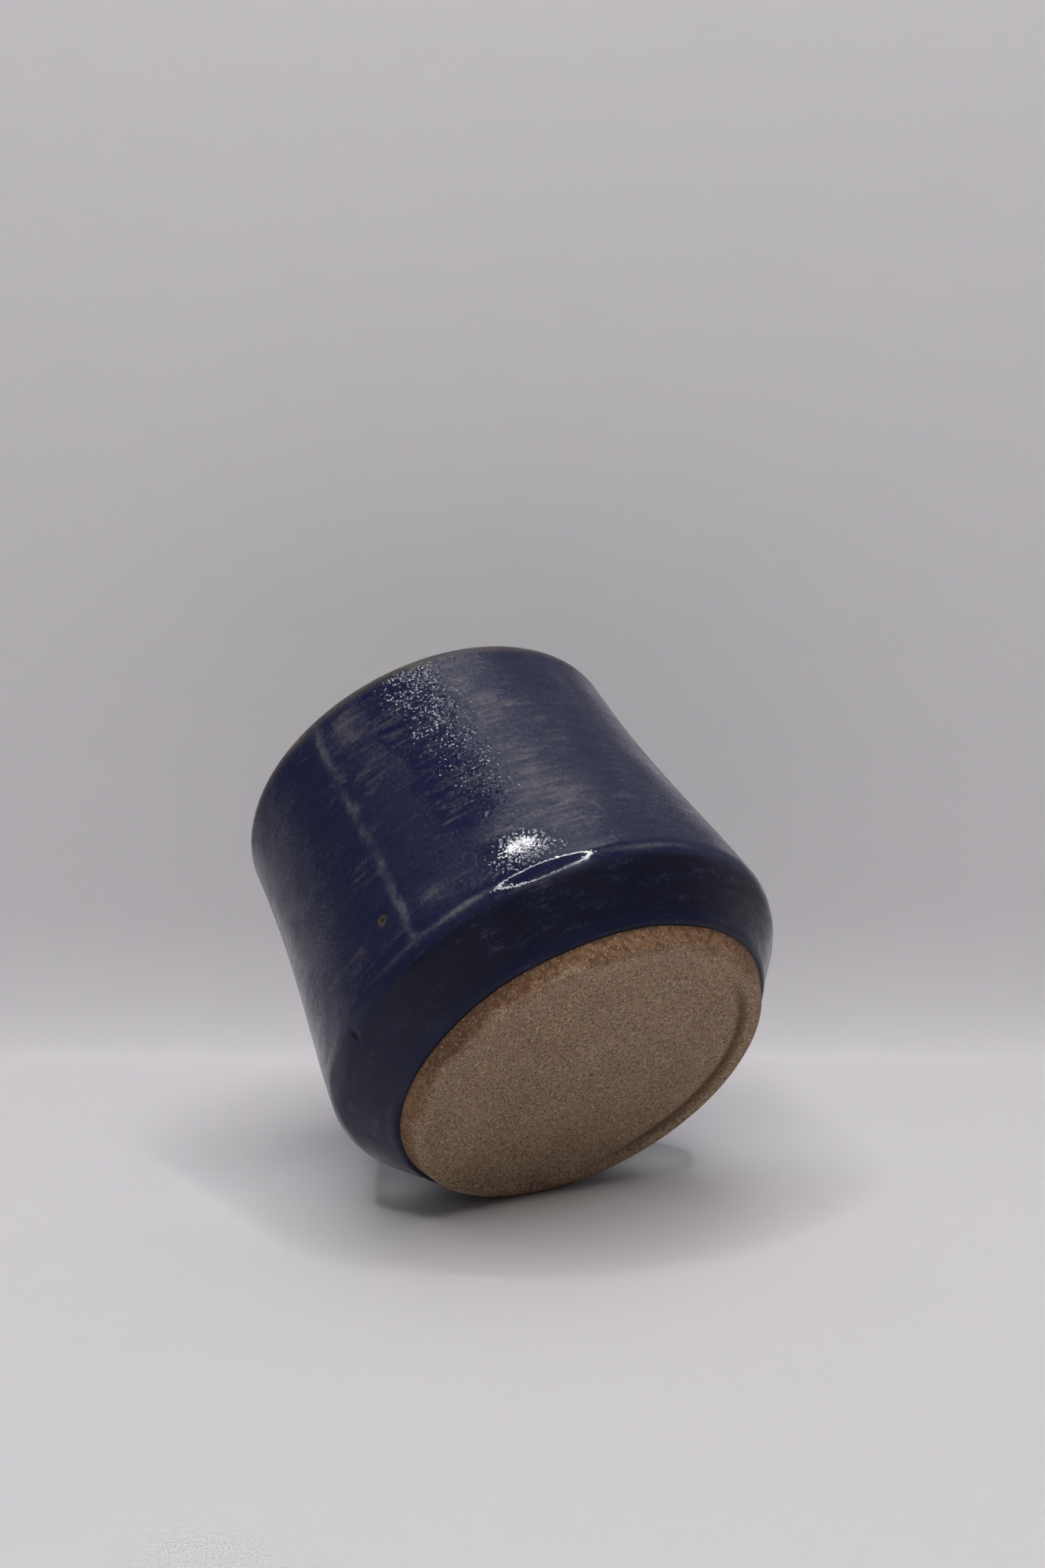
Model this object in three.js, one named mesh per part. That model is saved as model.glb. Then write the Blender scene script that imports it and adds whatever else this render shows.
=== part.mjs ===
// Handleless stoneware tumbler: one fired clay body with a turned foot, a blue glaze coat outside
// that stops above the foot, and the same glaze lining the inside.
// Millimetres, +Z up, origin at the centre of the foot's resting plane.
import * as THREE from 'three';

// Outside of the clay
const rimHeight = 76.3; // resting plane to the top of the clay lip
const rimRadius = 38.85; // just under the lip
const lipRound = 2.1; // reach of the lip's rounding down the wall
const shoulderRadius = 44.55; // crease between wall and underside, before it is rounded
const shoulderHeight = 14.2;
const shoulderRound = 2.4; // reach of the rounding along the wall and along the underside
const shoulderLean = 0.046; // millimetres in per millimetre up, where the wall leaves the shoulder
const shoulderPull = 13.3; // reach of that lean up the wall
const rimPull = 22.8; // reach of the upright rim down the wall

// Turned foot, left bare
const glazeLineRadius = 36.4;
const glazeLineHeight = 3.8;
const footRadius = 34.7; // edge of the foot, before it is rounded
const footRound = 0.9;
const footRingWidth = 3.2; // flat that the cup stands on, out to the unrounded edge
const recessDepth = 0.9;
const recessStep = 0.8; // width of the slope between the recess and the ring

// Inside of the clay
const rimWall = 3.1;
const shoulderWall = 4.9; // at the top of the curve into the floor
const floorHeight = 7.4; // resting plane to the clay floor
const innerCorner = 15; // height of the curve between wall and floor
const innerFloorRadius = 21; // flat middle of the floor

// Glaze
const glazeThickness = 0.45;
const glazeRoll = 0.75; // thickest part of the roll along the glaze line
const glazeRollReach = 1; // glaze line to the roll's thickest part
const glazeRollWidth = 2.6; // glaze line to where the coat is plain
const glazeEdge = 0.2; // thickness on the glaze line itself

// Fineness of the curves
const facets = 60;
const curveSteps = 5;

const point = (radius, height) => new THREE.Vector2(radius, height);
const along = (from, direction, distance) => from.clone().addScaledVector(direction, distance);
const heading = (from, to) => to.clone().sub(from).normalize();

const glazeLine = point(glazeLineRadius, glazeLineHeight);
const footEdge = point(footRadius, 0);
const shoulder = point(shoulderRadius, shoulderHeight);
const wallLeaving = point(-shoulderLean, 1);
const lipCrown = point(rimRadius - rimWall / 2, rimHeight);

// Bare underside, from the middle of the recess out to the glaze line
function footProfile() {
  const ringInside = footRadius - footRingWidth;
  const flankStart = along(footEdge, heading(footEdge, glazeLine), footRound);
  const path = new THREE.Path();
  path.moveTo(0, recessDepth);
  path.lineTo(ringInside - recessStep, recessDepth);
  path.lineTo(ringInside, 0);
  path.lineTo(footRadius - footRound, 0);
  path.quadraticCurveTo(footEdge.x, footEdge.y, flankStart.x, flankStart.y);
  path.lineTo(glazeLine.x, glazeLine.y);
  return path.getPoints(curveSteps);
}

// Clay under the outer glaze, from the glaze line up to the crown of the lip
function outerProfile() {
  const upSlope = heading(glazeLine, shoulder);
  const rollTop = along(glazeLine, upSlope, glazeRollReach);
  const rollEnd = along(glazeLine, upSlope, glazeRollWidth);
  const creaseStart = along(shoulder, upSlope, -shoulderRound);
  const creaseEnd = along(shoulder, wallLeaving, shoulderRound);
  const wallBend = along(shoulder, wallLeaving, shoulderPull);
  const wallTop = rimHeight - lipRound;
  const path = new THREE.Path();
  path.moveTo(glazeLine.x, glazeLine.y);
  path.lineTo(rollTop.x, rollTop.y);
  path.lineTo(rollEnd.x, rollEnd.y);
  path.lineTo(creaseStart.x, creaseStart.y);
  path.quadraticCurveTo(shoulder.x, shoulder.y, creaseEnd.x, creaseEnd.y);
  path.bezierCurveTo(wallBend.x, wallBend.y, rimRadius, wallTop - rimPull, rimRadius, wallTop);
  path.quadraticCurveTo(rimRadius, rimHeight, lipCrown.x, lipCrown.y);
  return path.getPoints(curveSteps);
}

// Clay under the liner glaze, from the crown of the lip down to the middle of the floor
function innerProfile() {
  const rimInside = rimRadius - rimWall;
  const wallTop = rimHeight - lipRound;
  const cornerTop = point(shoulderRadius - shoulderWall, floorHeight + innerCorner);
  const cornerFoot = along(cornerTop, wallLeaving, -innerCorner);
  const wallBend = along(cornerTop, wallLeaving, shoulderPull);
  const path = new THREE.Path();
  path.moveTo(lipCrown.x, lipCrown.y);
  path.quadraticCurveTo(rimInside, rimHeight, rimInside, wallTop);
  path.bezierCurveTo(rimInside, wallTop - rimPull, wallBend.x, wallBend.y, cornerTop.x, cornerTop.y);
  path.quadraticCurveTo(cornerFoot.x, cornerFoot.y, innerFloorRadius, floorHeight);
  path.lineTo(0, floorHeight);
  return path.getPoints(curveSteps);
}

// The glaze's surface over a run of clay, with a roll where the run starts at the glaze line
function glazeSurface(clay) {
  const atGlazeLine = [glazeEdge, glazeRoll];
  return clay.map((spot, i) => {
    const before = clay[Math.max(i - 1, 0)];
    const after = clay[Math.min(i + 1, clay.length - 1)];
    const run = heading(before, after);
    const outward = point(run.y, -run.x);
    return along(spot, outward, atGlazeLine[i] ?? glazeThickness);
  });
}

// One piece turned about the cup's axis
function turned(name, profile, material) {
  const geometry = new THREE.LatheGeometry(profile, facets);
  geometry.rotateX(Math.PI / 2);
  const mesh = new THREE.Mesh(geometry, material);
  mesh.name = name;
  return mesh;
}

const bareClay = new THREE.MeshStandardMaterial({ color: '#81705f', roughness: 0.85, metalness: 0 });
const blueGlaze = new THREE.MeshStandardMaterial({ color: '#262c4c', roughness: 0.25, metalness: 0 });

const outside = outerProfile();
const inside = innerProfile();
const crown = outside.length - 1;
const clayRun = [...outside, ...inside.slice(1)];
const glazeRun = glazeSurface(clayRun);
const glazeOutside = glazeRun.slice(0, crown + 1);
const glazeInside = glazeRun.slice(crown);

const bodyProfile = [...footProfile(), ...clayRun.slice(1)];
const outerGlazeProfile = [...glazeOutside, ...outside.toReversed(), glazeOutside[0]];
const linerGlazeProfile = [...inside.toReversed(), ...glazeInside];

const cup = new THREE.Group();
cup.name = 'tumbler';
cup.add(turned('stoneware_body', bodyProfile, bareClay));
cup.add(turned('outer_glaze', outerGlazeProfile, blueGlaze));
cup.add(turned('liner_glaze', linerGlazeProfile, blueGlaze));

export default cup;
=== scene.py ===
import math

import bmesh
import bpy
from mathutils import Matrix, Vector, noise
from mathutils.geometry import interpolate_bezier


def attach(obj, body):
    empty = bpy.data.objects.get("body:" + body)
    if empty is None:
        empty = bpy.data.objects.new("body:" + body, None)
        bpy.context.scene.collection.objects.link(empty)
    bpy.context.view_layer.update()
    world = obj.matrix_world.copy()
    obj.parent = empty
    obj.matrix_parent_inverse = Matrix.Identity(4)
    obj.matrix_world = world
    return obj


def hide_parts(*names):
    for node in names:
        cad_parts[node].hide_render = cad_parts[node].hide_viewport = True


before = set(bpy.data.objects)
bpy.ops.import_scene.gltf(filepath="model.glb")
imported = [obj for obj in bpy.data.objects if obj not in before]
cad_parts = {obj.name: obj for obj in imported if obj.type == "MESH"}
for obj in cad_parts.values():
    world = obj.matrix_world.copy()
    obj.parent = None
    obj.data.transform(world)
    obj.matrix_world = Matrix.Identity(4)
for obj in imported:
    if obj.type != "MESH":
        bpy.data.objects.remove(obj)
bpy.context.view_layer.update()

scene = bpy.context.scene
scene.view_settings.view_transform = "Standard"
print("frame:", ", ".join(sorted(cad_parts)))


# Camera: below the cup and rolled, because the cup is tipped back on the edge of its foot
cameraSettings = {
    "lens": 50.0,  # mm
    "longSide": 36.0,  # mm of sensor along the picture's height
    "picture": (1333, 2000),  # px
    "footMiddle": (756.7, 1375.6),  # px where the middle of the foot falls
    "footDepth": 0.397,  # m along the view
    "axisTurn": 52.98,  # degrees between the view and the cup's axis
    "axisLean": 30.9,  # degrees that the axis leans left of upright
    "nearest": 0.01,  # m from where the camera sees
}


def makeCamera(s):
    turn = math.radians(s["axisTurn"])
    lean = math.radians(s["axisLean"])
    cupAxis = Vector((-math.sin(lean) * math.sin(turn), math.cos(lean) * math.sin(turn), -math.cos(turn)))
    cupSide = Vector((math.cos(lean), math.sin(lean), 0))
    facing = Matrix((cupSide, cupAxis.cross(cupSide), cupAxis))  # rows: the cup's axes seen by the camera
    perPixel = s["longSide"] / s["lens"] / s["picture"][1] * s["footDepth"]
    across = (s["footMiddle"][0] - s["picture"][0] / 2) * perPixel
    down = (s["footMiddle"][1] - s["picture"][1] / 2) * perPixel
    data = bpy.data.cameras.new("photo_camera")
    data.lens = s["lens"]
    data.sensor_width = s["longSide"]
    data.clip_start = s["nearest"]
    camera = bpy.data.objects.new("photo_camera", data)
    scene.collection.objects.link(camera)
    footSeen = Vector((across, -down, -s["footDepth"]))
    camera.matrix_world = Matrix.Translation(-(facing @ footSeen)) @ facing.to_4x4()
    scene.camera = camera
    return camera


camera = makeCamera(cameraSettings)
print("camera at", [round(x, 3) for x in camera.matrix_world.translation])


# The cup's form in mm, as turned and glazed, the same as in the solids
form = {
    "rimHeight": 76.3,
    "rimRadius": 38.85,
    "lipRound": 2.1,
    "rimWall": 3.1,
    "shoulder": (44.55, 14.2),
    "shoulderRound": 2.4,
    "shoulderLean": 0.046,
    "shoulderPull": 13.3,
    "rimPull": 22.8,
    "glazeLine": (36.4, 3.8),
    "footRadius": 34.7,
    "footRound": 0.9,
    "ringWidth": 3.2,
    "recessDepth": 0.9,
    "recessStep": 0.8,
    "shoulderWall": 4.9,
    "floorHeight": 7.4,
    "innerCorner": 15.0,
    "innerFloor": 21.0,
    "glaze": 0.45,
}


def at(radius, height):
    return Vector((radius, 0, height)) / 1000


def straightRun(start, end, spacing):
    count = max(1, round((end - start).length / spacing))
    return [start.lerp(end, i / count) for i in range(count)]


def bentRun(start, startPull, endPull, end, spacing):
    count = max(3, round((end - start).length / spacing))
    return interpolate_bezier(start, startPull, endPull, end, count + 1)[:-1]


def roundedRun(start, corner, end, spacing):
    return bentRun(start, start.lerp(corner, 2 / 3), end.lerp(corner, 2 / 3), end, spacing)


glazeLine = at(*form["glazeLine"])
shoulder = at(*form["shoulder"])
lipCrown = at(form["rimRadius"] - form["rimWall"] / 2, form["rimHeight"])
wallTop = form["rimHeight"] - form["lipRound"]
wallLeaving = Vector((-form["shoulderLean"], 0, 1))
upSlope = (shoulder - glazeLine).normalized()


# Bare clay from the middle of the recess to the glaze line
def footRun(spacing, cornerSpacing):
    ringInside = form["footRadius"] - form["ringWidth"]
    stepInside = ringInside - form["recessStep"]
    middle = at(0, form["recessDepth"])
    stepTop = at(stepInside, form["recessDepth"])
    stepFoot = at(ringInside, 0)
    edge = at(form["footRadius"], 0)
    flank = (glazeLine - edge).normalized()
    soft = Vector((0.0007, 0, 0))  # m, reach of the softened corners of the step
    floorEnd = stepTop - soft
    ringStart = stepFoot + soft
    stepMiddle = stepTop.lerp(stepFoot, 0.5)
    edgeStart = edge - Vector((form["footRound"] / 1000, 0, 0))
    edgeEnd = edge + flank * form["footRound"] / 1000
    run = straightRun(middle, floorEnd, spacing)
    run += roundedRun(floorEnd, stepTop, stepMiddle, cornerSpacing)
    run += roundedRun(stepMiddle, stepFoot, ringStart, cornerSpacing)
    run += straightRun(ringStart, edgeStart, cornerSpacing * 2)
    run += roundedRun(edgeStart, edge, edgeEnd, cornerSpacing)
    run += straightRun(edgeEnd, glazeLine, cornerSpacing * 2)
    return run


# Clay under the outer glaze, from the glaze line to the crown of the lip
def outsideRun(spacing):
    creaseStart = shoulder - upSlope * form["shoulderRound"] / 1000
    creaseEnd = shoulder + wallLeaving * form["shoulderRound"] / 1000
    wallBend = shoulder + wallLeaving * form["shoulderPull"] / 1000
    rimStart = at(form["rimRadius"], wallTop)
    rimBend = at(form["rimRadius"], wallTop - form["rimPull"])
    lipCorner = at(form["rimRadius"], form["rimHeight"])
    run = straightRun(glazeLine, creaseStart, spacing)
    run += roundedRun(creaseStart, shoulder, creaseEnd, spacing / 2)
    run += bentRun(creaseEnd, wallBend, rimBend, rimStart, spacing)
    run += roundedRun(rimStart, lipCorner, lipCrown, spacing / 2)
    return run


# Clay under the lining, from the crown of the lip to the middle of the floor
def insideRun(spacing):
    rimInside = form["rimRadius"] - form["rimWall"]
    cornerTop = at(form["shoulder"][0] - form["shoulderWall"], form["floorHeight"] + form["innerCorner"])
    cornerFoot = cornerTop - wallLeaving * form["innerCorner"] / 1000
    wallBend = cornerTop + wallLeaving * form["shoulderPull"] / 1000
    rimStart = at(rimInside, wallTop)
    rimBend = at(rimInside, wallTop - form["rimPull"])
    lipCorner = at(rimInside, form["rimHeight"])
    floorEdge = at(form["innerFloor"], form["floorHeight"])
    run = roundedRun(lipCrown, lipCorner, rimStart, spacing / 2)
    run += bentRun(rimStart, rimBend, wallBend, cornerTop, spacing)
    run += roundedRun(cornerTop, cornerFoot, floorEdge, spacing)
    run += straightRun(floorEdge, at(0, form["floorHeight"]), spacing)
    return run + [at(0, form["floorHeight"])]


# A run moved out from the clay by the thickness that each point asks for
def coatedRun(run, thicknessAt):
    coated = []
    travelled = 0.0
    for i, spot in enumerate(run):
        before = run[max(i - 1, 0)]
        after = run[min(i + 1, len(run) - 1)]
        along = (after - before).normalized()
        outward = Vector((along.z, 0, -along.x))
        travelled += (spot - before).length
        coated.append(spot + outward * thicknessAt(travelled))
    return coated


def spin(bm, parts, angle, steps):
    bmesh.ops.spin(bm, geom=parts, cent=(0, 0, 0), axis=(0, 0, 1), dvec=(0, 0, 0), angle=angle, steps=steps,
                   use_merge=False, use_duplicate=False)


# Spins an outline about the cup's axis, one sector at a time, and leaves a clean closed skin
def spinOutline(outline, closed, sectors):
    weld = 1e-6  # m
    whole = bmesh.new()
    for start, end, steps in sectors:
        bm = bmesh.new()
        verts = [bm.verts.new(spot) for spot in outline]
        edges = [bm.edges.new(pair) for pair in zip(verts, verts[1:])]
        if closed:
            edges.append(bm.edges.new((verts[-1], verts[0])))
        toStart = Matrix.Rotation(math.radians(start), 3, "Z")
        bmesh.ops.rotate(bm, cent=(0, 0, 0), matrix=toStart, verts=verts)
        spin(bm, verts + edges, math.radians(end - start), steps)
        sector = bpy.data.meshes.new("sector")
        bm.to_mesh(sector)
        bm.free()
        whole.from_mesh(sector)
        bpy.data.meshes.remove(sector)
    bmesh.ops.remove_doubles(whole, verts=whole.verts, dist=weld)
    bmesh.ops.recalc_face_normals(whole, faces=whole.faces)
    whole.normal_update()
    return whole


# Equal sectors between two angles in degrees, each spun in so many steps
def evenSectors(start, end, count, steps):
    edges = [start + (end - start) * i / count for i in range(count + 1)]
    return [(before, after, steps) for before, after in zip(edges, edges[1:])]


def finishPiece(name, bm, node, material):
    mesh = bpy.data.meshes.new(name)
    bm.to_mesh(mesh)
    bm.free()
    mesh.shade_smooth()
    mesh.materials.append(material)
    piece = bpy.data.objects.new(name, mesh)
    scene.collection.objects.link(piece)
    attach(piece, "root")
    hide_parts(node)
    print(name, "for", node, "with", len(mesh.polygons), "faces")
    return piece


# Node helpers: a value that is a socket gets linked, any other is set
def newTree(name):
    material = bpy.data.materials.new(name)
    material.use_nodes = True
    material.node_tree.nodes.clear()
    return material, material.node_tree


def addNode(tree, kind, values=None, **settings):
    node = tree.nodes.new(kind)
    for key, value in settings.items():
        setattr(node, key, value)
    for key, value in (values or {}).items():
        if isinstance(value, bpy.types.NodeSocket):
            tree.links.new(value, node.inputs[key])
        else:
            node.inputs[key].default_value = value
    return node


def mixColour(tree, factor, first, second):
    return addNode(tree, "ShaderNodeMix", {0: factor, 6: first, 7: second}, data_type="RGBA").outputs[2]


def sums(tree, operation, first, second=0.0, third=0.0):
    return addNode(tree, "ShaderNodeMath", {0: first, 1: second, 2: third}, operation=operation).outputs[0]


def remap(tree, value, low, high, toLow=0.0, toHigh=1.0):
    names = ("Value", "From Min", "From Max", "To Min", "To Max")
    node = addNode(tree, "ShaderNodeMapRange", dict(zip(names, (value, low, high, toLow, toHigh))),
                   interpolation_type="SMOOTHSTEP")
    return node.outputs[0]


def speckle(tree, vector, scale, detail, roughness=0.5, distortion=0.0):
    names = ("Vector", "Scale", "Detail", "Roughness", "Distortion")
    values = (vector, scale, detail, roughness, distortion)
    return addNode(tree, "ShaderNodeTexNoise", dict(zip(names, values)))


def measureAlong(tree, vector, way):
    node = addNode(tree, "ShaderNodeVectorMath", {0: vector, 1: way}, operation="DOT_PRODUCT")
    return node.outputs["Value"]


# Adds shares of a node's outputs to a value
def addShares(tree, node, shares, total):
    for name, share in shares.items():
        total = sums(tree, "MULTIPLY_ADD", node.outputs[name], share, total)
    return total


def closeMaterial(tree, shader):
    addNode(tree, "ShaderNodeOutputMaterial", {"Surface": shader.outputs[0]})


# Sandy grit: light and dark grains of one size, dust between them, and their height
gritSettings = {
    "grain": (0.80, 0.35),  # distance from a grain's middle where it starts and is full
    "darkTone": (0.45, 0.95),  # random tones from which grains are dark
    "lightTone": (0.60, 0.98),
    "dustFineness": 0.6,  # of the grains'
    "dust": (3.0, 0.7),  # detail, roughness
    "darkDust": (0.48, 0.30, 0.0, 0.7),  # dust tones, and how dark they turn
}


def makeGritGroup(s):
    group = bpy.data.node_groups.new("sandy_grit", "ShaderNodeTree")
    group.interface.new_socket("Vector", in_out="INPUT", socket_type="NodeSocketVector")
    group.interface.new_socket("Grains per m", in_out="INPUT", socket_type="NodeSocketFloat")
    for name in ("Dark", "Light", "Height"):
        group.interface.new_socket(name, in_out="OUTPUT", socket_type="NodeSocketFloat")
    inside = addNode(group, "NodeGroupInput")
    vector, fineness = inside.outputs["Vector"], inside.outputs["Grains per m"]
    grain = addNode(group, "ShaderNodeTexVoronoi", {"Vector": vector, "Scale": fineness}, feature="F1")
    tone = addNode(group, "ShaderNodeSeparateColor", {"Color": grain.outputs["Color"]})
    core = remap(group, grain.outputs["Distance"], *s["grain"])
    dustScale = sums(group, "MULTIPLY", fineness, s["dustFineness"])
    dust = speckle(group, vector, dustScale, *s["dust"]).outputs["Fac"]
    dark = sums(group, "MULTIPLY", core, remap(group, tone.outputs["Red"], *s["darkTone"]))
    light = sums(group, "MULTIPLY", core, remap(group, tone.outputs["Green"], *s["lightTone"]))
    height = sums(group, "ADD", sums(group, "SUBTRACT", light, dark), dust)
    outside = addNode(group, "NodeGroupOutput")
    group.links.new(sums(group, "MAXIMUM", dark, remap(group, dust, *s["darkDust"])), outside.inputs["Dark"])
    group.links.new(light, outside.inputs["Light"])
    group.links.new(height, outside.inputs["Height"])
    return group


# Glaze mottle: broad clouds, level streaks left by the brush, fine grain, and the lean of its orange peel
mottleSettings = {
    "cloud": (6.0, 0.66, 0.4),  # detail, roughness, distortion
    "streak": (3.0, 0.6),
    "streakStretch": (0.16, 0.16, 1.0),  # draws the streaks out level
    "peel": (1.0, 0.5),
    "peelMiddle": (0.5, 0.5, 0.5),  # the noise where the peel doesn't lean
    "grain": (3.0, 0.6),
    "grainFineness": 0.7,  # of the peel's
}


def makeMottleGroup(s):
    group = bpy.data.node_groups.new("glaze_mottle", "ShaderNodeTree")
    group.interface.new_socket("Vector", in_out="INPUT", socket_type="NodeSocketVector")
    for name in ("Clouds per m", "Streaks per m", "Peel per m"):
        group.interface.new_socket(name, in_out="INPUT", socket_type="NodeSocketFloat")
    for name in ("Cloud", "Streak", "Grain"):
        group.interface.new_socket(name, in_out="OUTPUT", socket_type="NodeSocketFloat")
    group.interface.new_socket("Peel", in_out="OUTPUT", socket_type="NodeSocketVector")
    inside = addNode(group, "NodeGroupInput")
    vector, peelScale = inside.outputs["Vector"], inside.outputs["Peel per m"]
    level = addNode(group, "ShaderNodeMapping", {"Vector": vector, "Scale": s["streakStretch"]},
                    vector_type="POINT")
    cloud = speckle(group, vector, inside.outputs["Clouds per m"], *s["cloud"])
    streak = speckle(group, level.outputs[0], inside.outputs["Streaks per m"], *s["streak"])
    peel = speckle(group, vector, peelScale, *s["peel"])
    grain = speckle(group, vector, sums(group, "MULTIPLY", peelScale, s["grainFineness"]), *s["grain"])
    lean = addNode(group, "ShaderNodeVectorMath", {0: peel.outputs["Color"], 1: s["peelMiddle"]},
                   operation="SUBTRACT")
    outside = addNode(group, "NodeGroupOutput")
    for name, node in (("Cloud", cloud), ("Streak", streak), ("Grain", grain)):
        group.links.new(node.outputs["Fac"], outside.inputs[name])
    group.links.new(lean.outputs[0], outside.inputs["Peel"])
    return group


gritGroup = makeGritGroup(gritSettings)
mottleGroup = makeMottleGroup(mottleSettings)


# Blue glaze, deep where it is thick and brown-grey where it thins over an edge, satin with glossy stretches
glazeFinish = {
    "deep": (0.0060, 0.0085, 0.0400, 1),
    "plain": (0.0120, 0.0145, 0.0460, 1),
    "hazy": (0.0690, 0.0640, 0.0820, 1),
    "under": (0.0062, 0.0064, 0.0170, 1),  # on the slope under the shoulder
    # pale: the glaze's pale marks, also used for a painted highlight along the crease
    "pale": (0.1150, 0.1120, 0.1280, 1),
    "thin": (0.0850, 0.0745, 0.0660, 1),
    "tan": (0.0660, 0.0490, 0.0410, 1),  # round the pinhole
    "pit": (0.0120, 0.0080, 0.0060, 1),
    "clouds": 85.0,  # per m
    "streaks": 900.0,
    "peel": 1850.0,
    "peelLean": 0.56,  # how far the peel turns the surface
    "hazeShares": {"Cloud": 1.5, "Streak": 2.2, "Grain": 1.5},  # added to the haze that is marked
    "hazeShift": 0.3,  # taken off, so that it is 2.3 on average where nothing is marked
    "plainFrom": (1.85, 2.40),  # that haze, where the colour turns
    "hazyFrom": (2.45, 3.30),
    "underFrom": (3.00, 2.10, 0.40, 1.0),  # haze, and the share of the slope's colour
    "nickFrom": (1.3, 1.9),  # depth of the glaze's marks
    "paleFrom": (0.30, 0.60, 0.35, 1.0),  # grain, and the share of the pale marks
    "tanFrom": (0.15, 0.45),  # nearness to the pinhole
    "pitFrom": (0.70, 0.95),
    "shineShares": {"Cloud": 0.65, "Streak": 0.35},  # added to the gloss that is marked, 0.5 on average
    "shineFrom": (0.35, 0.95),
    "glossy": 0.04,  # roughness
    "satin": 0.48,
    "specular": 0.22,
    "wet": 0.5,  # clear coat where the glaze is glossy and the peel is nearly gone
    "wetPeel": (0.34, 0.20),  # share of the peel where it starts and is full
    "wetGloss": (0.25, 0.50),
    "edgeSheen": 0.48,  # clear coat where the surface turns away
    "edgeFrom": (0.69, 0.87),
    "coatRoughness": 0.08,
}


def makeGlaze(name, s):
    material, tree = newTree(name)
    place = addNode(tree, "ShaderNodeTexCoord").outputs["Object"]
    marks = addNode(tree, "ShaderNodeAttribute", attribute_name="glazeMarksAndHighlight")
    mark = addNode(tree, "ShaderNodeSeparateColor", {"Color": marks.outputs["Color"]})
    thin, deep, flaw = mark.outputs["Red"], mark.outputs["Green"], mark.outputs["Blue"]
    pale = marks.outputs["Alpha"]
    tones = addNode(tree, "ShaderNodeAttribute", attribute_name="glazeTone")
    tone = addNode(tree, "ShaderNodeSeparateColor", {"Color": tones.outputs["Color"]})
    gloss, haze, under = tone.outputs["Red"], tone.outputs["Green"], tone.outputs["Blue"]
    peeled = tones.outputs["Alpha"]
    mottle = addNode(tree, "ShaderNodeGroup", {"Vector": place, "Clouds per m": s["clouds"],
                                               "Streaks per m": s["streaks"], "Peel per m": s["peel"]},
                     node_tree=mottleGroup)
    mixed = addShares(tree, mottle, s["hazeShares"], sums(tree, "SUBTRACT", haze, s["hazeShift"]))
    colour = mixColour(tree, remap(tree, mixed, *s["plainFrom"]), s["deep"], s["plain"])
    colour = mixColour(tree, remap(tree, mixed, *s["hazyFrom"]), colour, s["hazy"])
    shade = sums(tree, "MULTIPLY", under, remap(tree, mixed, *s["underFrom"]))
    colour = mixColour(tree, shade, colour, s["under"])
    colour = mixColour(tree, deep, colour, s["deep"])
    colour = mixColour(tree, remap(tree, deep, *s["nickFrom"]), colour, s["pit"])
    # Pale marks, broken by grain: partly the glaze breaking over the seam, partly a painted highlight along
    # the crease and on the full spot
    paleAndHighlight = sums(tree, "MULTIPLY", pale, remap(tree, mottle.outputs["Grain"], *s["paleFrom"]))
    colour = mixColour(tree, paleAndHighlight, colour, s["pale"])
    colour = mixColour(tree, thin, colour, s["thin"])
    colour = mixColour(tree, remap(tree, flaw, *s["tanFrom"]), colour, s["tan"])
    colour = mixColour(tree, remap(tree, flaw, *s["pitFrom"]), colour, s["pit"])
    shine = addShares(tree, mottle, s["shineShares"], gloss)
    rough = remap(tree, shine, *s["shineFrom"], s["satin"], s["glossy"])
    leaning = sums(tree, "MULTIPLY", peeled, s["peelLean"])
    lean = addNode(tree, "ShaderNodeVectorMath", {0: mottle.outputs["Peel"], "Scale": leaning},
                   operation="SCALE")
    plainNormal = addNode(tree, "ShaderNodeNewGeometry").outputs["Normal"]
    normal = addNode(tree, "ShaderNodeVectorMath", {0: plainNormal, 1: lean.outputs[0]}, operation="ADD")
    normal = addNode(tree, "ShaderNodeVectorMath", {0: normal.outputs[0]}, operation="NORMALIZE")
    smooth = remap(tree, peeled, *s["wetPeel"], 0.0, s["wet"])
    wet = sums(tree, "MULTIPLY", smooth, remap(tree, gloss, *s["wetGloss"]))
    facing = addNode(tree, "ShaderNodeLayerWeight", {"Blend": 0.5}).outputs["Facing"]
    sheen = remap(tree, facing, *s["edgeFrom"], 0.0, s["edgeSheen"])
    wet = sums(tree, "MAXIMUM", wet, sums(tree, "MULTIPLY", sheen, sums(tree, "SUBTRACT", 1.0, thin)))
    shader = addNode(tree, "ShaderNodeBsdfPrincipled", {
        "Base Color": colour, "Roughness": rough, "IOR": 1.5, "Specular IOR Level": s["specular"],
        "Coat Weight": wet, "Coat Roughness": s["coatRoughness"], "Normal": normal.outputs[0]})
    closeMaterial(tree, shader)
    return material
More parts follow.
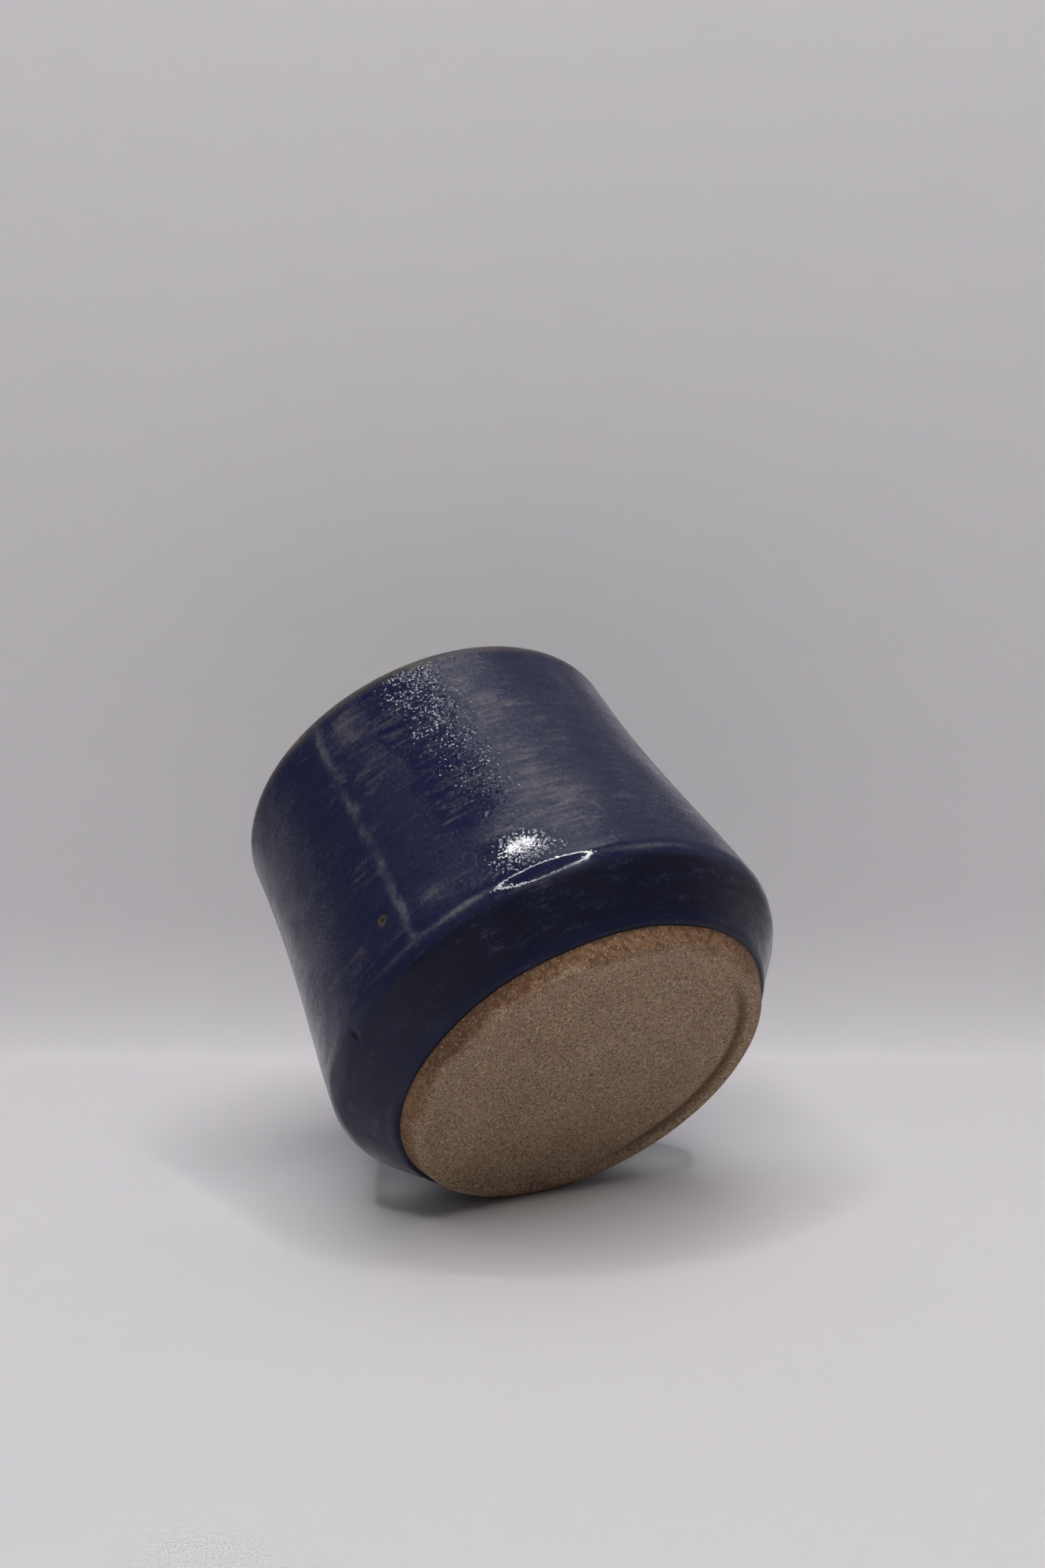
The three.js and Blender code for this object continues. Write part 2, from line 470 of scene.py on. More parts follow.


# Bare stoneware: sandy brown, gritty, toasted and scorched along the glaze line, with painted shade in the
# foot's groove
clayFinish = {
    "body": (0.326, 0.215, 0.133, 1),
    "pale": (0.378, 0.258, 0.166, 1),
    "darkGrain": (0.100, 0.063, 0.039, 1),
    "lightGrain": (0.600, 0.475, 0.350, 1),
    "toast": (0.240, 0.124, 0.056, 1),
    "scorch": (0.094, 0.036, 0.015, 1),
    "patches": 90.0,  # per m
    "patchDetail": 4.0,
    "paleFrom": (0.35, 0.65),  # tone of a patch, where the clay turns pale
    "roughFrom": (0.3, 0.7, 0.78, 0.92),  # and its roughness there
    "specular": 0.3,
    "grains": 3300.0,  # per m
    "grainHeight": 0.00005,  # m
    "toastFrom": (-0.0004, 0.0014, 0.0, 0.92),  # m above the foot, and the share of toast
    "toastRagged": 0.006,  # m by which the patches shift that
    "toastOnGrain": 0.6,  # share that light grains take
    "scorches": 950.0,  # per m
    "scorchDetail": 3.0,
    "scorchFrom": (0.40, 0.68),
    "scorchUp": (0.0022, 0.0040, 0.0, 0.10),  # m above the foot, and what is added there
    "scorchLeft": (0.010, -0.010, 0.0, 0.12),  # m to the right, and what is added there
    "scorchEnd": (-0.019, -0.028, 0.0, 0.22),  # and taken off
}


def makeClay(name, s):
    material, tree = newTree(name)
    place = addNode(tree, "ShaderNodeTexCoord").outputs["Object"]
    spot = addNode(tree, "ShaderNodeSeparateXYZ", {"Vector": place})
    right, height = spot.outputs["X"], spot.outputs["Z"]
    marks = addNode(tree, "ShaderNodeAttribute", attribute_name="clayMarksAndShade").outputs["Color"]
    mark = addNode(tree, "ShaderNodeSeparateColor", {"Color": marks})
    # flaw: painted shade in the foot's groove, and the dark of its pits
    flaw, flank = mark.outputs["Red"], mark.outputs["Green"]
    patch = speckle(tree, place, s["patches"], s["patchDetail"]).outputs["Fac"]
    grit = addNode(tree, "ShaderNodeGroup", {"Vector": place, "Grains per m": s["grains"]},
                   node_tree=gritGroup)
    shift = sums(tree, "MULTIPLY", sums(tree, "SUBTRACT", patch, 0.5), s["toastRagged"])
    ragged = sums(tree, "ADD", height, shift)
    toasted = sums(tree, "MULTIPLY", flank, remap(tree, ragged, *s["toastFrom"]))
    onGrain = remap(tree, grit.outputs["Light"], 0.0, 1.0, 1.0, s["toastOnGrain"])
    scorch = speckle(tree, place, s["scorches"], s["scorchDetail"]).outputs["Fac"]
    scorch = sums(tree, "ADD", scorch, remap(tree, height, *s["scorchUp"]))
    scorch = sums(tree, "ADD", scorch, remap(tree, right, *s["scorchLeft"]))
    scorch = sums(tree, "SUBTRACT", scorch, remap(tree, right, *s["scorchEnd"]))
    toast = mixColour(tree, remap(tree, scorch, *s["scorchFrom"]), s["toast"], s["scorch"])
    colour = mixColour(tree, remap(tree, patch, *s["paleFrom"]), s["body"], s["pale"])
    colour = mixColour(tree, grit.outputs["Light"], colour, s["lightGrain"])
    colour = mixColour(tree, sums(tree, "MULTIPLY", toasted, onGrain), colour, toast)
    # Dark clay where the marks say: painted shade in the foot's groove, and the pits
    colour = mixColour(tree, flaw, colour, s["darkGrain"])
    colour = mixColour(tree, grit.outputs["Dark"], colour, s["darkGrain"])
    bump = addNode(tree, "ShaderNodeBump", {"Strength": 1.0, "Distance": s["grainHeight"],
                                            "Height": grit.outputs["Height"]})
    shader = addNode(tree, "ShaderNodeBsdfPrincipled", {
        "Base Color": colour, "Roughness": remap(tree, patch, *s["roughFrom"]),
        "Specular IOR Level": s["specular"], "Normal": bump.outputs[0]})
    closeMaterial(tree, shader)
    return material


liningFinish = {**glazeFinish, "clouds": 48.0, "streaks": 620.0}
blueGlaze = makeGlaze("blue_glaze", glazeFinish)
liningGlaze = makeGlaze("lining_glaze", liningFinish)
bareStoneware = makeClay("bare_stoneware", clayFinish)
print("finishes: blue glaze, lining glaze, bare stoneware")


# Shapes of marks and moves: a bump about a middle, a smooth step, and patches of turn and height
def bell(x, middle, width, power=2):
    return math.exp(-(((x - middle) / width) ** power))


def ramp(x, low, high):
    t = min(1.0, max(0.0, (x - low) / (high - low)))
    return t * t * (3 - 2 * t)


def patched(turn, height, patches, power=2):
    total = 0.0
    for middle, up, wide, tall, strength in patches:
        away = abs((turn - middle) / wide) ** power
        total += strength * math.exp(-away - abs((height - up) / tall) ** power)
    return total


# Rings left by the wheel, and the slow unevenness of the wall
def thrown(p, angle, s):
    rings = s["throwing"] * math.sin(2 * math.pi * p.z / s["ringPitch"] + angle)
    return rings + s["swell"] * noise.noise(p * s["swells"])


# Thinning of the glaze under the lip, a little mottled
lipMottle = {"middle": 0.75, "change": 0.5, "scale": 160}


def thinned(p, rimTop, band, s):
    start, full = band
    mottled = s["middle"] + s["change"] * noise.noise(p * s["scale"])
    return min(1.0, ramp(p.z, rimTop - start, rimTop - full) * mottled)


# Outer glaze coat
coatSettings = {
    "spacing": 0.00045,  # m between the rows of its skin
    "hiddenSpacing": 0.003,
    "sectors": evenSectors(-138.0, -103.0, 4, 25) + evenSectors(-103.0, 222.0, 10, 27),  # finer at the marks
    "edgeReach": 0.3,  # mm over which the coat thickens from the glaze line
    "rollHeight": 0.14,  # mm that the roll at the glaze line stands over the coat
    "rollAt": 1.2,  # mm up from the glaze line
    "rollWidth": 1.1,
    "beadHeight": 0.10,  # mm that the shoulder stands proud
    "beadAt": 2.2,  # mm up from the crease
    "beadWidth": 1.3,
    "fullness": (0.058, 0.0222, 0.0029),  # lean of a full spot over the shoulder, its height, half its reach
    "fullnessSoft": 0.0009,  # m over which its lean starts and ends
    "fullnessTurn": (-76.5, 9.4),  # degrees, its middle and reach round the cup
    "fullnessPower": 4,
    "fullnessEnd": (0.040, 0.026),  # m up, where it is gone and full
    "fullnessCurl": 3.0,  # per m, takes the wall's own curve out of it
    "lean": 0.00011,  # m that the wall draws in under the lip
    "leanFrom": (0.063, 0.076),  # m up
    "swell": 0.00006,  # m of slow unevenness in the wall
    "swells": 38,  # per m
    "throwing": 0.000006,  # m of the spiral rings left by the wheel
    "ringPitch": 0.0052,
    "seam": (-108.2, -106.8),  # degrees at the lip and at the shoulder
    "seamHeight": 0.00008,
    "seamWidth": 0.00088,
    "seamWander": (0.0008, 170, 7.7),  # m, per m up the cup, and where the noise is read
    "seamFray": (0.0006, 700),  # m, per m
    "seamLeast": 0.16,  # strength between its patches
    "seamFoot": (15, 18),  # mm up, where it starts
    "seamTop": (76, 73),
    "seamMottle": (0.9, 420),  # share, per m
    "seamPale": 0.85,
    "seamPatches": [  # mm up the cup, reach, strength
        (71.0, 3.0, 1.3), (65.5, 2.6, 0.55), (52.0, 2.2, 0.85), (45.0, 3.0, 0.35), (36.0, 2.2, 0.60),
        (29.5, 2.0, 0.35), (23.5, 2.6, 1.0), (17.6, 0.9, 0.6),
    ],
    # Pale marks; those along the crease, 15.2 to 16.4 mm up, and the one on the full spot, 22.2 mm up, are a
    # painted highlight
    "paleAndHighlightPatches": [  # degrees, mm up, reach in degrees and in mm, strength
        (-97.5, 70.0, 4.2, 2.6, 0.26), (-97.0, 22.6, 3.6, 2.0, 0.26), (-93.5, 16.3, 6.0, 0.60, 0.90),
        (-94.0, 16.3, 6.5, 0.35, 0.60), (-111.0, 16.4, 8.0, 0.50, 0.40), (-49.0, 15.2, 10.0, 0.45, 0.75),
        (-21.5, 67.9, 0.7, 0.25, 0.5), (-31.0, 59.1, 0.7, 0.25, 0.5), (-76.0, 22.2, 6.0, 3.0, 0.30),
    ],
    "deepPatches": [
        (-90.0, 63.0, 6.5, 0.7, 0.8), (-105.0, 18.4, 18.0, 1.0, 0.7), (-98.0, 73.8, 9.0, 0.8, 0.8),
        (-40.0, 73.0, 14.0, 1.4, 0.5), (-134.2, 13.9, 0.9, 1.0, 2.6),
    ],
    "glossPatches": [
        (-79.0, 58.0, 10.5, 24.0, 0.75), (-76.0, 22.2, 10.0, 3.8, 0.55), (-74.0, 16.1, 20.0, 2.2, 0.36),
        (-130.0, 45.0, 24.0, 45.0, 0.16), (-62.0, 50.0, 9.0, 50.0, 0.10),
    ],
    "glossPower": 4,  # their edges are steeper
    # Grey haze of the glaze; the broad band round -63 degrees is partly a painted sheen where the glow high
    # behind the cup reflects
    "hazeAndSheenPatches": [
        (-63.0, 52.0, 7.5, 40.0, 0.52), (-98.0, 60.0, 6.0, 9.0, 0.30), (-135.0, 22.0, 26.0, 5.0, 0.30),
        (-77.0, 28.0, 7.0, 3.0, 0.50), (-97.5, 70.0, 5.5, 3.5, 0.60), (-58.0, 32.0, 12.0, 9.0, 0.30),
        (-97.0, 22.6, 4.5, 2.6, 0.50), (-81.0, 44.0, 7.0, 6.0, 0.30), (-87.0, 62.0, 6.0, 9.0, 0.35),
        (-79.0, 61.0, 7.0, 13.0, 0.32),
    ],
    "drift": 2.2,  # degrees that the patches' edges wander
    "drifts": 110,  # per m
    "paleDriftUp": 0.1,  # mm up per degree
    "glossDrift": 2.2,  # times that
    "hazeDrift": 2,
    "lipBand": (0.0036, 0.0014),  # m under the lip's top, where the glaze starts to thin and is thin
    "pool": (0.5, 0.0008, 0.0011),  # strength, m above the glaze line and reach of the deep glaze there
    "underFrom": (14.6, 13.0),  # mm up, where the slope's own colour starts
    "underLess": 0.5,  # weaker on the left
    "underLeft": (-105.0, -135.0),  # degrees
    "smoothPeel": 0.20,  # share of the peel left over the shoulder
    "smoothFrom": (19.0, 16.5),  # mm up
    "fullPeel": 0.20,  # on its full spot
    "fullTurn": (-76.0, 10.0),  # degrees
    "fullUp": (22.2, 3.8),  # mm
    "leftPeel": 0.40,  # and on the far left
    "leftFrom": (-96.0, -106.0),  # degrees
    "nick": [(-134.2, 13.9, 0.85, 0.95, 0.0004)],  # its depth in m
    "pinhole": (-112.4, 25.5, 0.95, 0.0002),  # degrees, mm up, reach in mm, depth in m
    "edgeFade": 0.004,  # m above the glaze line, up to where only the line's own wander moves the coat
    "waviness": 0.00022,  # m that the glaze line wanders
    "waves": 2.3,
    "slope": 1.3,  # rise over run of the underside, along which it does
}


# Rise of the full spot at a height: a lean with soft ends, bent against the wall's own curve
def fullRise(z, s):
    lean, middle, reach = s["fullness"]
    soft = s["fullnessSoft"]
    below = math.log(math.cosh((z - middle + reach) / soft))
    above = math.log(math.cosh((z - middle - reach) / soft))
    curl = s["fullnessCurl"] * max(-reach, min(reach, z - middle)) ** 2
    return lean * (reach + soft * (below - above) / 2) + curl


# Strength of the seam's ridge, a broken line that wanders down the wall
def seamRidge(p, turn, radius, rimTop, s):
    up = p.z * 1000
    top, foot = s["seam"]
    line = foot + (top - foot) * ramp(p.z, shoulder.z, rimTop)
    wander, wanders, readAt = s["seamWander"]
    fray, frays = s["seamFray"]
    mottle, mottles = s["seamMottle"]
    gap = math.radians(turn - line) * radius + wander * noise.noise(Vector((readAt, 0, p.z * wanders)))
    gap += fray * noise.noise(p * frays)
    run = s["seamLeast"] * ramp(up, *s["seamFoot"]) * ramp(up, *s["seamTop"])
    run += sum(strength * bell(up, middle, reach) for middle, reach, strength in s["seamPatches"])
    run *= 1 + mottle * noise.noise(p * mottles)
    return min(1.0, run) * bell(gap, 0.0, s["seamWidth"])


def makeOuterCoat(s):
    toCrease = (shoulder - glazeLine).length * 1000

    def thickness(travelled):
        d = travelled * 1000
        coat = form["glaze"] * (1 - math.exp(-d / s["edgeReach"]))
        roll = s["rollHeight"] * bell(d, s["rollAt"], s["rollWidth"])
        bead = s["beadHeight"] * bell(d, toCrease + s["beadAt"], s["beadWidth"])
        return (coat + roll + bead) / 1000

    skin = coatedRun(outsideRun(s["spacing"]) + [lipCrown], thickness)
    hidden = (outsideRun(s["hiddenSpacing"]) + [lipCrown])[::-1]
    bm = spinOutline(skin + hidden, True, s["sectors"])
    rimTop = lipCrown.z + form["glaze"] / 1000
    marks = bm.verts.layers.float_color.new("glazeMarksAndHighlight")
    tones = bm.verts.layers.float_color.new("glazeTone")
    pool, poolAt, poolReach = s["pool"]
    holeTurn, holeUp, holeReach, holeDepth = s["pinhole"]
    for v in bm.verts:
        p = v.co
        radius = math.hypot(p.x, p.y)
        angle = math.atan2(p.y, p.x)
        turn = math.degrees(angle)
        up = p.z * 1000
        ridge = seamRidge(p, turn, radius, rimTop, s)
        flaw = bell(math.hypot(math.radians(turn - holeTurn) * radius * 1000, up - holeUp), 0.0, holeReach)
        drift = s["drift"] * noise.noise(p * s["drifts"])
        deep = pool * bell(p.z, glazeLine.z + poolAt, poolReach) + patched(turn, up, s["deepPatches"])
        # Pale: the glaze breaking over the seam, and a painted highlight along the crease and on the full
        # spot
        pale = s["seamPale"] * ridge + patched(turn + drift, up + s["paleDriftUp"] * drift, s["paleAndHighlightPatches"])
        v[marks] = (thinned(p, rimTop, s["lipBand"], lipMottle), deep, flaw, min(1.0, pale))
        gloss = patched(turn + s["glossDrift"] * drift, up, s["glossPatches"], s["glossPower"])
        # Haze: the glaze's grey mottle, and a painted sheen in the broad band
        haze = patched(turn + s["hazeDrift"] * drift, up, s["hazeAndSheenPatches"])
        under = ramp(up, *s["underFrom"]) * (1 - s["underLess"] * ramp(turn, *s["underLeft"]))
        full = bell(turn, *s["fullTurn"]) * bell(up, *s["fullUp"])
        peel = 1 - max((1 - s["smoothPeel"]) * ramp(up, *s["smoothFrom"]), (1 - s["fullPeel"]) * full,
                       (1 - s["leftPeel"]) * ramp(turn, *s["leftFrom"]))
        v[tones] = (gloss, haze, under, peel)
        rise = fullRise(p.z, s) * ramp(p.z, *s["fullnessEnd"])
        move = thrown(p, angle, s) + rise * bell(turn, *s["fullnessTurn"], s["fullnessPower"])
        move -= s["lean"] * ramp(p.z, *s["leanFrom"])
        move += s["seamHeight"] * ridge
        move -= holeDepth * flaw + patched(turn, up, s["nick"])
        if v.normal.dot(Vector((p.x, p.y, radius / 2))) < 0:  # the side against the clay stays
            move = 0.0
        fade = ramp(p.z, glazeLine.z, glazeLine.z + s["edgeFade"])
        wander = s["waviness"] * noise.noise(Vector((math.cos(angle), math.sin(angle), 0)) * s["waves"])
        alongSlope = Vector((p.x, p.y, radius * s["slope"])).normalized()
        v.co = p + v.normal * move * fade + alongSlope * wander * (1 - fade)
    return finishPiece("outer_coat", bm, "outer_glaze", blueGlaze)


# Lining: the same glaze inside, over slow rings left by the thrower's fingers
liningSettings = {
    "spacing": 0.0007,
    "hiddenSpacing": 0.003,
    "sectors": evenSectors(0, 360, 12, 20),
    "throwing": 0.00010,
    "ringPitch": 0.0075,
    "swell": 0.00015,
    "swells": 30,
    "lipBand": (0.0016, 0.0004),
    "lipFade": 0.006,  # m under the lip's top, down to where the moves fade in
    "middleFade": (0.002, 0.012),  # m from the axis
    "pool": 0.25,  # of deep glaze and haze on the floor
    "poolFrom": (0.016, 0.009),  # m up
    "gloss": 0.15,
    "peel": 0.6,
}


def makeLining(s):
    plain = form["glaze"] / 1000
    skin = coatedRun(insideRun(s["spacing"]), lambda travelled: plain)
    bm = spinOutline(skin[::-1] + insideRun(s["hiddenSpacing"]), False, s["sectors"])
    rimTop = lipCrown.z + plain
    marks = bm.verts.layers.float_color.new("glazeMarksAndHighlight")
    tones = bm.verts.layers.float_color.new("glazeTone")
    for v in bm.verts:
        p = v.co
        low = s["pool"] * ramp(p.z, *s["poolFrom"])
        v[marks] = (thinned(p, rimTop, s["lipBand"], lipMottle), low, 0.0, 0.0)
        v[tones] = (s["gloss"], low, 0.0, s["peel"])
        fade = ramp(p.z, rimTop, rimTop - s["lipFade"]) * ramp(math.hypot(p.x, p.y), *s["middleFade"])
        move = thrown(p, math.atan2(p.y, p.x), s)
        if v.normal.z > v.normal.dot(Vector((p.x, p.y, 0)).normalized()):  # the side against the clay stays
            v.co = p + v.normal * move * fade
    return finishPiece("lining", bm, "liner_glaze", liningGlaze)


# Clay body: gritty foot, ring and recess, and the wall under the glaze
bodySettings = {
    "spacing": 0.0005,
    "cornerSpacing": 0.00018,
    "hiddenSpacing": 0.003,
    "sectors": evenSectors(0, 360, 12, 25),
    "bareFade": 0.001,  # m under the glaze line, over which the roughness fades in
    "grit": 0.00002,  # m of roughness in the bare clay
    "grits": 1100,  # per m
    "turning": 0.000003,  # m of the rings left by the turning tool
    "turningPitch": 0.0017,
    "unevenness": 0.00010,
    "unevens": 60,
    "unevenFrom": (0.030, 0.0335),  # m from the axis
    "groove": (0.0309, 0.00075, 0.00042),  # m from the axis, reach and depth of the turning tool's last cut
    "grooveTurn": (-16, 14, 80, 116),  # degrees where it starts, is full, eases and ends
    # Painted shade in the groove, darkening the clay there
    "grooveShade": 0.70,
    "dishEdge": 0.0335,  # the step is worn to a shallow dish elsewhere
    "dishFoot": 0.0285,
    "pits": [(150, 0.0236, 0.0006), (155, 0.0222, 0.0005), (161, 0.0229, 0.0007), (166, 0.0212, 0.0005),
             (171, 0.0206, 0.0006), (158, 0.0207, 0.0004), (147, 0.0221, 0.0004)],  # degrees, m out, reach
    "pitDark": 0.6,
    "flankFrom": (0.0330, 0.0344),  # m from the axis, where the clay may be toasted
}


def makeBody(s):
    outline = footRun(s["spacing"], s["cornerSpacing"])
    outline += outsideRun(s["hiddenSpacing"]) + insideRun(s["hiddenSpacing"])
    bm = spinOutline(outline, False, s["sectors"])
    marks = bm.verts.layers.float_color.new("clayMarksAndShade")
    middle, grooveReach, grooveDepth = s["groove"]
    start, full, easing, end = s["grooveTurn"]
    pits = []
    for pitTurn, pitRadius, pitReach in s["pits"]:
        way = math.radians(pitTurn)
        pits.append((Vector((math.cos(way), math.sin(way), 0)) * pitRadius, pitReach))
    for v in bm.verts:
        p = v.co
        radius = math.hypot(p.x, p.y)
        if p.z > glazeLine.z or radius < 1e-6:  # glazed, or the very middle
            continue
        turn = math.degrees(math.atan2(p.y, p.x))
        bare = ramp(p.z, glazeLine.z, glazeLine.z - s["bareFade"])
        move = s["grit"] * noise.noise(p * s["grits"])
        move += s["turning"] * math.sin(radius * 2 * math.pi / s["turningPitch"])
        move += s["unevenness"] * noise.noise(p * s["unevens"]) * ramp(radius, *s["unevenFrom"])
        crisp = ramp(turn, start, full) * ramp(turn, end, easing)
        groove = crisp * bell(radius, middle, grooveReach)
        pitted = max(bell(math.hypot(p.x - pit.x, p.y - pit.y), 0.0, pitReach) for pit, pitReach in pits)
        # Painted shade in the groove, with the dark of the pits
        dark = min(1.0, s["grooveShade"] * groove + s["pitDark"] * pitted)
        v[marks] = (dark, ramp(radius, *s["flankFrom"]), 0.0, 1.0)
        spot = p + v.normal * move * bare
        if radius < s["dishEdge"]:
            dished = form["recessDepth"] / 1000 * ramp(radius, s["dishEdge"], s["dishFoot"])
            spot.z += (1 - crisp) * (dished - p.z) + grooveDepth * groove
        spot.z = max(0.0, spot.z)
        v.co = spot
    return finishPiece("clay_body", bm, "stoneware_body", bareStoneware)


pieces = [makeBody(bodySettings), makeOuterCoat(coatSettings), makeLining(liningSettings)]


# Floor and backdrop: one pale sheet that turns up behind the cup, clear when seen from its back; painted
# shade darkens it towards the camera and its left part in reflections, and a painted glow lifts the contact
# shadow
stageSettings = {
    "lookDown": 8.0,  # degrees that the camera looks down on the floor
    "foldDistance": 0.500,  # m, level, from the camera to where the floor starts to turn up
    "foldDepth": 0.0128,  # m that the fold runs on to the wall
    "foldHeight": 0.0326,
    "foldSteps": 24,
    "foldMargin": 0.004,  # m of flat paper beside the fold that keeps its shading to itself
    "reach": 2.0,
    "wallHeight": 0.29,
    "colour": (0.70, 0.68, 0.70, 1),
    # Painted shade: the paper darkens towards the camera, where the ring lamp lights it more
    "nearShadedColour": (0.640, 0.622, 0.640, 1),
    "near": (0.48, 0.26),  # m, level, from the camera, between which the floor turns to that colour
    # Painted shade in reflections: the glaze sees the wall's left part as dim grey, while the camera sees it
    # pale
    "dim": (0.12, 0.12, 0.12, 1),  # of the wall's left part in the glaze's reflections
    "wallLeft": (-0.28, -0.30),  # m to the right of the cup, where that starts and is full
    "wallFoot": (0.001, 0.003),  # m above the floor
    # Painted light: four soft spots where the paper itself glows, lifting the cup's contact shadow
    "paintedShadowLifts": [(-54, 22, 36, 44, 0.080), (-38, 21, 9, 9, 0.030),  # mm right and ahead, reaches,
              (15, 36, 16, 15, 0.090), (36, 48, 40, 34, 0.045)],  # light that softens the contact shadow
    "roughness": 0.9,
    "specular": 0.1,
}

viewRight, viewUp, viewBack = (camera.matrix_world.to_3x3().col[i].copy() for i in range(3))
lookDown = math.radians(stageSettings["lookDown"])
floorUp = viewUp * math.cos(lookDown) + viewBack * math.sin(lookDown)
floorAhead = viewUp * math.sin(lookDown) - viewBack * math.cos(lookDown)
floorLevel = min(v.co.dot(floorUp) for piece in pieces for v in piece.data.vertices)
cameraAhead = camera.matrix_world.translation.dot(floorAhead)
stageTurn = Matrix((viewRight, floorAhead, floorUp)).transposed()
print("floor tilt in the cup's frame:", [round(x, 3) for x in floorUp])


def makePaper(name, s):
    material, tree = newTree(name)
    place = addNode(tree, "ShaderNodeTexCoord").outputs["Object"]
    across = measureAlong(tree, place, viewRight)
    ahead = measureAlong(tree, place, floorAhead)
    height = measureAlong(tree, place, floorUp)
    aboveFloor = remap(tree, height, *(floorLevel + up for up in s["wallFoot"]))
    wall = sums(tree, "MULTIPLY", remap(tree, across, *s["wallLeft"]), aboveFloor)
    # Painted shade: the wall's left part turns dim only for glossy rays
    mirrored = sums(tree, "MULTIPLY", wall, addNode(tree, "ShaderNodeLightPath").outputs["Is Glossy Ray"])
    # Painted shade: darker paper towards the camera
    near = remap(tree, ahead, *(cameraAhead + distance for distance in s["near"]))
    colour = mixColour(tree, near, s["colour"], s["nearShadedColour"])
    colour = mixColour(tree, mirrored, colour, s["dim"])
    # Painted light: the paper's emission, brightest in the middle of each spot, lifts the contact shadow
    paintedLift = 0.0
    for right, far, wide, deep, light in s["paintedShadowLifts"]:
        aside = sums(tree, "MULTIPLY_ADD", across, 1000 / wide, -right / wide)
        beyond = sums(tree, "MULTIPLY_ADD", ahead, 1000 / deep, -far / deep)
        squared = sums(tree, "MULTIPLY_ADD", aside, aside, sums(tree, "MULTIPLY", beyond, beyond))
        paintedLift = sums(tree, "ADD", paintedLift, remap(tree, sums(tree, "SQRT", squared), 1.0, 0.0, 0.0, light))
    paper = addNode(tree, "ShaderNodeBsdfPrincipled", {
        "Base Color": colour, "Roughness": s["roughness"], "Specular IOR Level": s["specular"],
        "Emission Color": mixColour(tree, paintedLift, (0, 0, 0, 1), (1, 1, 1, 1)), "Emission Strength": 1.0})
    back = addNode(tree, "ShaderNodeNewGeometry").outputs["Backfacing"]
    clear = addNode(tree, "ShaderNodeBsdfTransparent")
    both = addNode(tree, "ShaderNodeMixShader", {0: back, 1: paper.outputs[0], 2: clear.outputs[0]})
    closeMaterial(tree, both)
    return material


def makeSweep(s):
    foldAhead = cameraAhead + s["foldDistance"]
    outline = [(foldAhead - s["reach"], 0.0), (foldAhead - s["foldMargin"], 0.0)]
    for i in range(s["foldSteps"] + 1):
        turn = math.pi / 2 * i / s["foldSteps"]
        rise = s["foldHeight"] * (1 - math.cos(turn))
        outline.append((foldAhead + s["foldDepth"] * math.sin(turn), rise))
    wallAhead = foldAhead + s["foldDepth"]
    outline += [(wallAhead, s["foldHeight"] + s["foldMargin"]), (wallAhead, s["wallHeight"])]
    bm = bmesh.new()
    verts = [bm.verts.new((-s["reach"], ahead, floorLevel + up)) for ahead, up in outline]
    for pair in zip(verts, verts[1:]):
        bm.edges.new(pair)
    spread = bmesh.ops.extrude_edge_only(bm, edges=bm.edges[:])
    moved = [g for g in spread["geom"] if isinstance(g, bmesh.types.BMVert)]
    bmesh.ops.translate(bm, verts=moved, vec=(2 * s["reach"], 0, 0))
    bmesh.ops.transform(bm, matrix=stageTurn.to_4x4(), verts=bm.verts)
    bmesh.ops.recalc_face_normals(bm, faces=bm.faces)
    bm.normal_update()
    if max(bm.faces, key=lambda f: f.calc_area()).normal.dot(floorUp - floorAhead) < 0:
        bmesh.ops.reverse_faces(bm, faces=bm.faces)
    mesh = bpy.data.meshes.new("paper_sweep")
    bm.to_mesh(mesh)
    bm.free()
    mesh.shade_smooth()
    mesh.materials.append(makePaper("pale_paper", s))
    sweep = bpy.data.objects.new("paper_sweep", mesh)
    scene.collection.objects.link(sweep)


makeSweep(stageSettings)
print("stage: paper sweep")


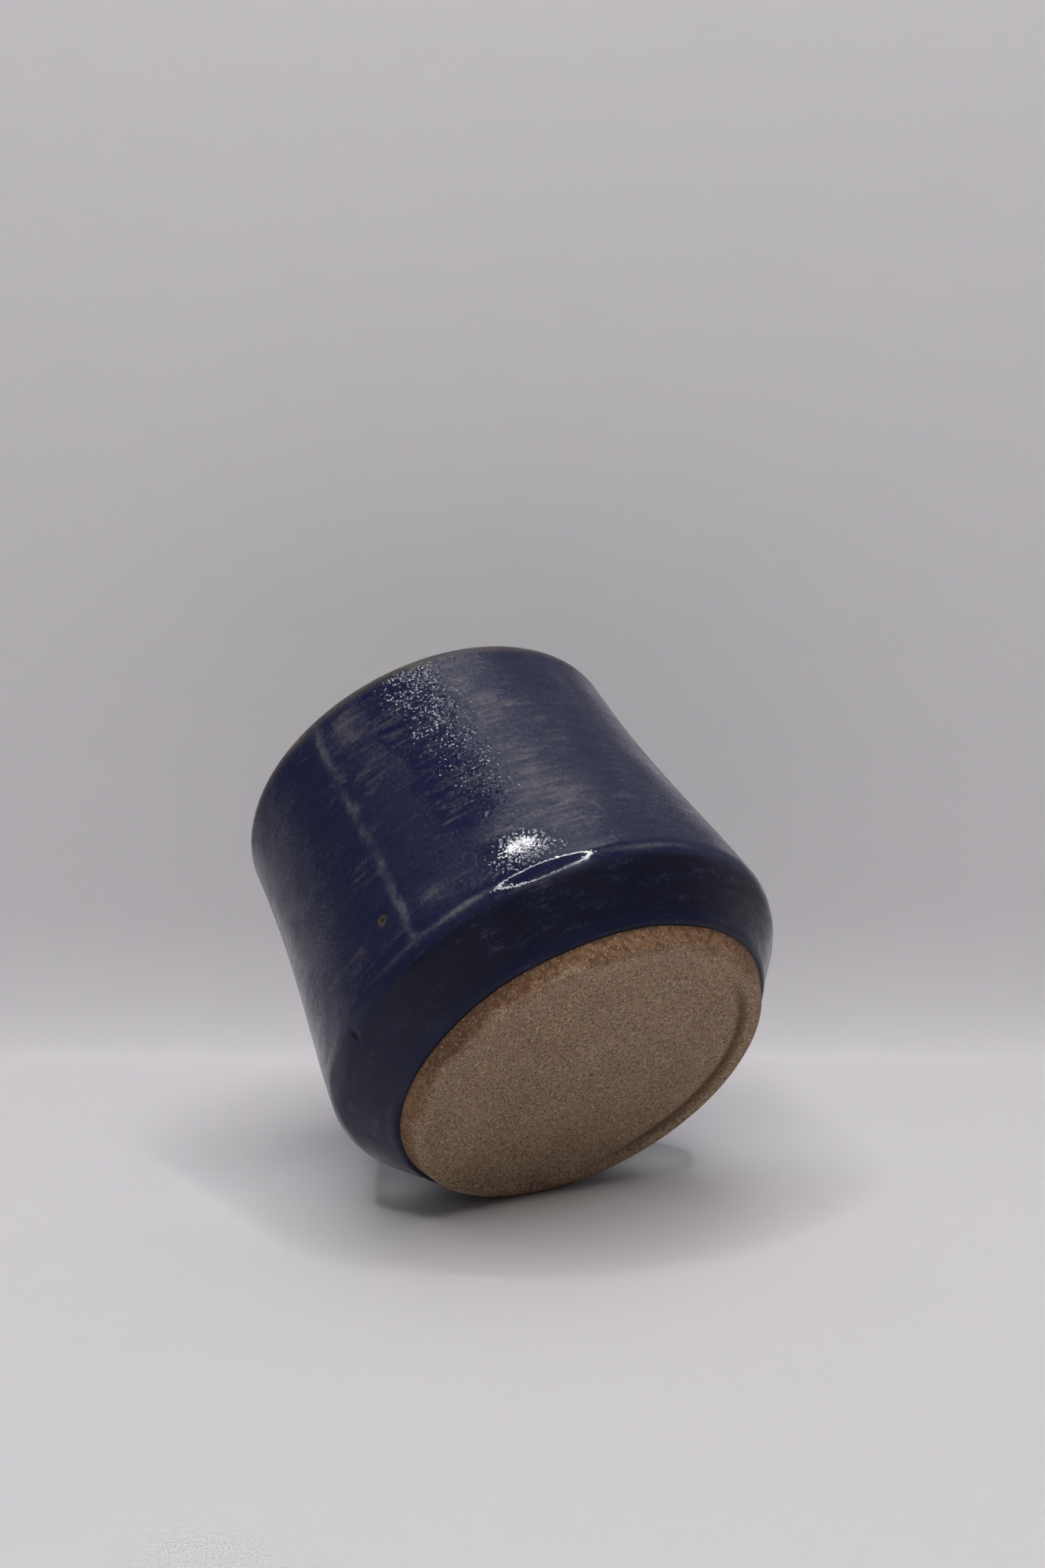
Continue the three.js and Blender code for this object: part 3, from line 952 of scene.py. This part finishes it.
# Light: a ring lamp overhead, and a dim surround with a glow high behind the cup
lightSettings = {
    "ringCentre": (-0.01, -0.34, 0.94),  # right, ahead and up, as a direction from the cup
    "ringDistance": 0.90,
    "ringRadius": 0.335,
    "ringSteps": 96,
    "tubeSize": 0.023,
    "tubeSides": 8,
    "weld": 1e-5,  # m
    "ringStrength": 50.0,
    "surround": (0.102, 0.102, 0.106, 1),
    "backdrop": (0.400, 0.390, 0.400, 1),  # where the camera looks past the paper
    "glow": (2.0, 2.0, 2.05, 1),
    "glowCentre": (0.06, 0.33, 0.94),
    "glowReach": 21.0,  # degrees to where the glow ends
}
cupMiddle = Vector((0, 0, form["rimHeight"] / 2000))


def stageDirection(parts):
    return (stageTurn @ Vector(parts)).normalized()


def facingFrom(place, target):
    return Matrix.Translation(place) @ (place - target).to_track_quat("Z", "Y").to_matrix().to_4x4()


def makeRingLamp(s):
    bm = bmesh.new()
    onRing = Matrix.Translation((s["ringRadius"], 0, 0)) @ Matrix.Rotation(math.pi / 2, 4, "X")
    tube = bmesh.ops.create_circle(bm, segments=s["tubeSides"], radius=s["tubeSize"] / 2, matrix=onRing)
    spin(bm, tube["verts"] + bm.edges[:], 2 * math.pi, s["ringSteps"])
    bmesh.ops.remove_doubles(bm, verts=bm.verts, dist=s["weld"])
    place = cupMiddle + stageDirection(s["ringCentre"]) * s["ringDistance"]
    bmesh.ops.transform(bm, matrix=facingFrom(place, cupMiddle), verts=bm.verts)
    bmesh.ops.recalc_face_normals(bm, faces=bm.faces)
    mesh = bpy.data.meshes.new("ring_lamp")
    bm.to_mesh(mesh)
    bm.free()
    material, tree = newTree("lamp_glow")
    closeMaterial(tree, addNode(tree, "ShaderNodeEmission", {"Strength": s["ringStrength"]}))
    mesh.materials.append(material)
    lamp = bpy.data.objects.new("ring_lamp", mesh)
    scene.collection.objects.link(lamp)
    lamp.visible_camera = False


def makeSurround(s):
    world = bpy.data.worlds.new("surround")
    world.use_nodes = True
    tree = world.node_tree
    way = addNode(tree, "ShaderNodeTexCoord").outputs["Generated"]
    nearness = measureAlong(tree, way, stageDirection(s["glowCentre"]))
    glow = remap(tree, nearness, math.cos(math.radians(s["glowReach"])), 1.0)
    colour = mixColour(tree, glow, s["surround"], s["glow"])
    seen = addNode(tree, "ShaderNodeLightPath").outputs["Is Camera Ray"]
    colour = mixColour(tree, seen, colour, s["backdrop"])
    tree.links.new(colour, tree.nodes["Background"].inputs["Color"])
    scene.world = world


makeRingLamp(lightSettings)
makeSurround(lightSettings)
print("lights: ring lamp and surround")
